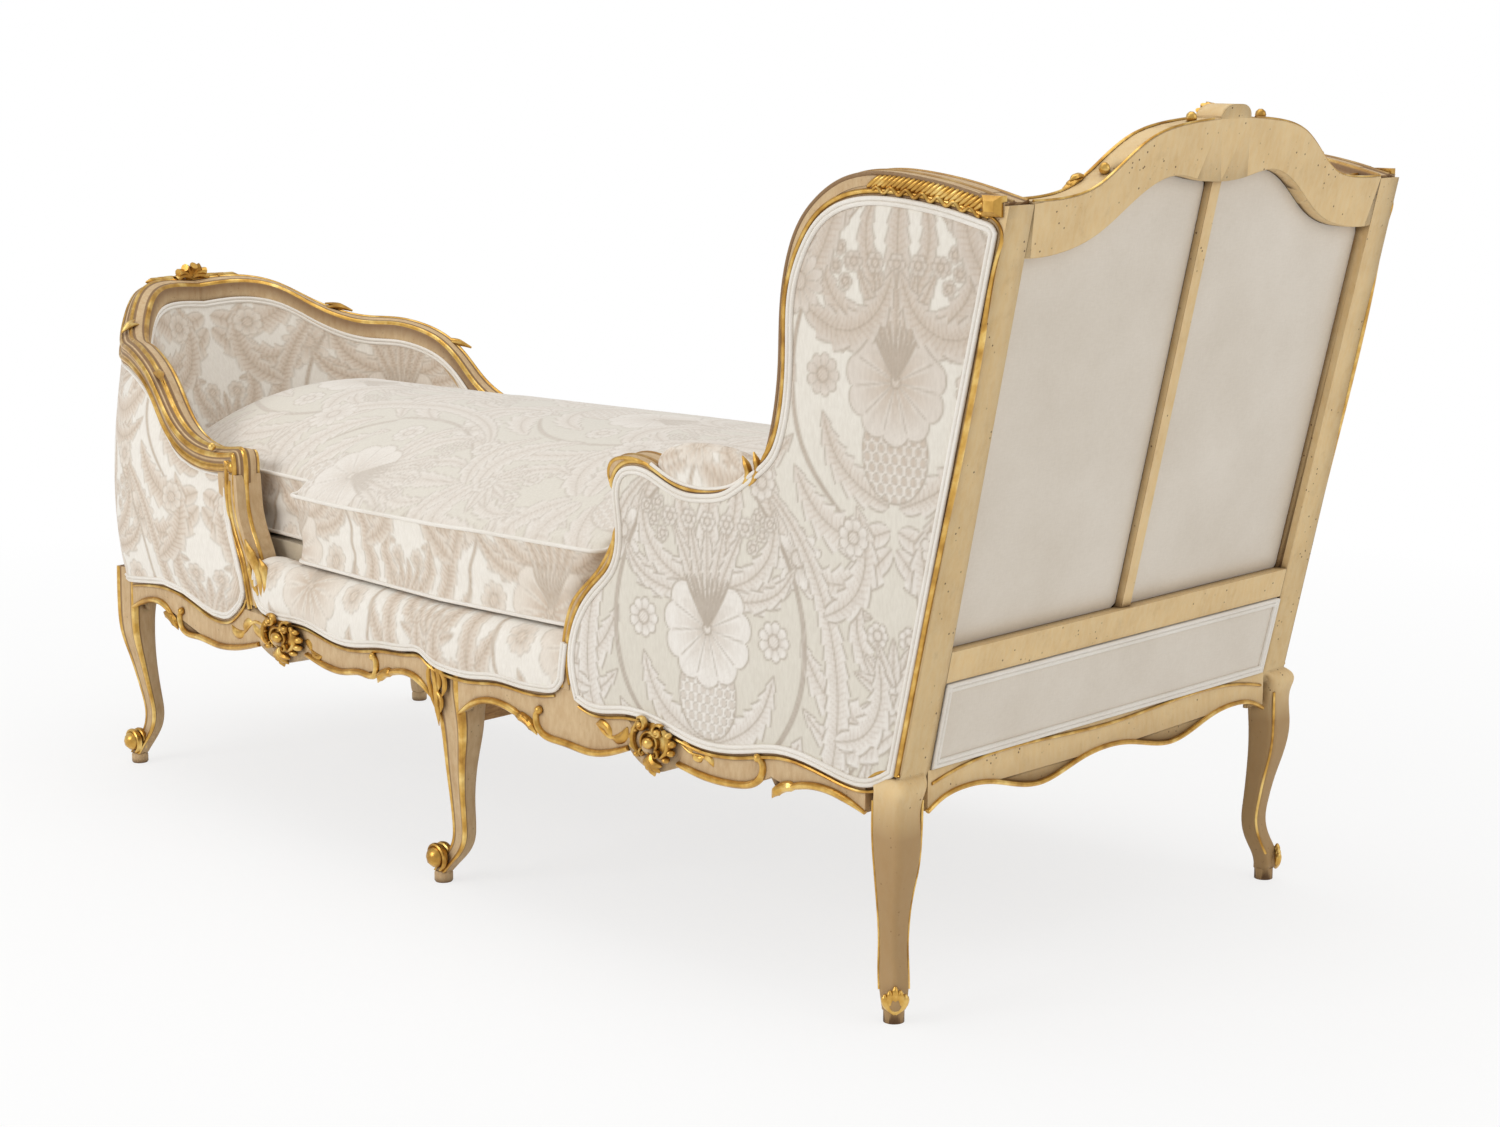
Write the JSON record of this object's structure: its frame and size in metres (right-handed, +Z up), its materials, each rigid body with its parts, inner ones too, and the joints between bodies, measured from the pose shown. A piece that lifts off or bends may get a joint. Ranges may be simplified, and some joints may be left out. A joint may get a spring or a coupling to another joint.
{
  "type": "duchesse en bateau",
  "caption": "Long daybed with a high winged back, a low curved foot end, cabriole legs, a painted and gilded frame, damask covers and a loose crowned seat cushion.",
  "frame": {"origin": "on the floor under the middle of the whole daybed's box", "axes": "+Z up; +X from the foot end towards the high back; +Y towards the sitter's right"},
  "size_m": [1.973, 0.8008, 1.01],
  "materials": {
    "painted_wood": "aged cream paint with gilded mouldings",
    "beech": "bare beech",
    "damask": "ivory and taupe woven damask",
    "satin": "plain ivory satin",
    "deck_cloth": "plain cotton over a stuffed deck",
    "jute_webbing": "woven jute",
    "steel": "plain steel"
  },
  "bodies": {
    "frame": {"arm_pad_left": "damask", "arm_pad_right": "damask", "arm_rail_left": "painted_wood", "arm_rail_right": "painted_wood", "arm_support_left": "painted_wood", "arm_support_right": "painted_wood", "back_centre_stile": "painted_wood", "back_cross_rail": "painted_wood", "back_lower_panel": "satin", "back_panel_left": "satin", "back_panel_right": "satin", "back_post_left": "painted_wood", "back_post_right": "painted_wood", "block_screws": "steel", "crest_rail": "painted_wood", "cross_webbing": "jute_webbing", "end_leg_left": "painted_wood", "end_leg_right": "painted_wood", "end_seat_rail": "painted_wood", "foot_arm_support_left": "painted_wood", "foot_arm_support_right": "painted_wood", "foot_crest_rail": "painted_wood", "foot_inner_pad": "damask", "foot_outer_cover": "damask", "foot_rail_left": "painted_wood", "foot_rail_right": "painted_wood", "inner_back_pad": "damask", "inner_side_pad_left": "damask", "inner_side_pad_right": "damask", "joint_pegs": "beech", "long_webbing": "jute_webbing", "middle_leg_left": "painted_wood", "middle_leg_right": "painted_wood", "rear_corner_block_left": "beech", "rear_corner_block_right": "beech", "rear_seat_rail": "painted_wood", "seat_border_left": "damask", "seat_border_right": "damask", "seat_cross_rail": "beech", "seat_deck": "deck_cloth", "seat_springs": "steel", "side_cover_left": "damask", "side_cover_right": "damask", "side_rail_foot_left": "painted_wood", "side_rail_foot_right": "painted_wood", "side_rail_head_left": "painted_wood", "side_rail_head_right": "painted_wood", "webbing_tacks": "steel", "wing_stile_left": "painted_wood", "wing_stile_right": "painted_wood", "wing_top_rail_left": "painted_wood", "wing_top_rail_right": "painted_wood"},
    "seat_cushion": {"seat_cushion": "damask"}
  },
  "joints": [
    {"name": "cushion_lift", "type": "slide", "parent": "frame", "child": "seat_cushion", "axis": [0, 0, 1], "range_m": [0, 0.64]}
  ]
}
